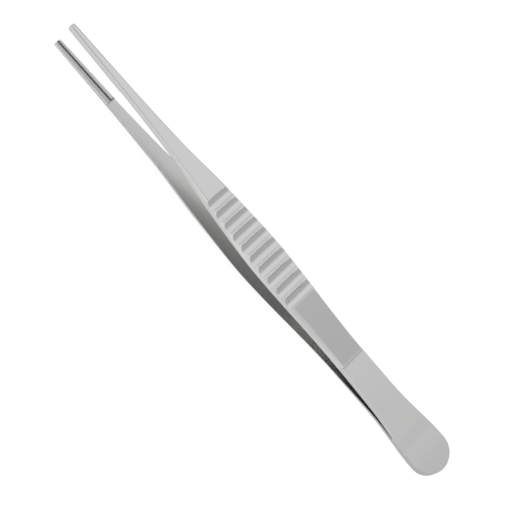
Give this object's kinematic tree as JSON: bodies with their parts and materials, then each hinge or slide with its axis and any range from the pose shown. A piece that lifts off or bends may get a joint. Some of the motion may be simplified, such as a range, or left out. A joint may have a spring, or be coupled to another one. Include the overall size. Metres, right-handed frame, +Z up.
{
  "type": "thumb forceps",
  "caption": "Sprung steel thumb forceps with fluted grips and fine toothed jaws, welded at a broad flat tail and standing open.",
  "frame": {"origin": "middle of the forceps' outline, at the level it lies on", "axes": "+X from the jaws to the welded tail, +Y across the arms' width, +Z up; it lies on the back of the lower arm"},
  "size_m": [0.1502, 0.0128, 0.014],
  "materials": {
    "satin_steel": "satin"
  },
  "bodies": {
    "root": {"upper_arm": "satin_steel", "lower_arm": "satin_steel"}
  },
  "joints": []
}
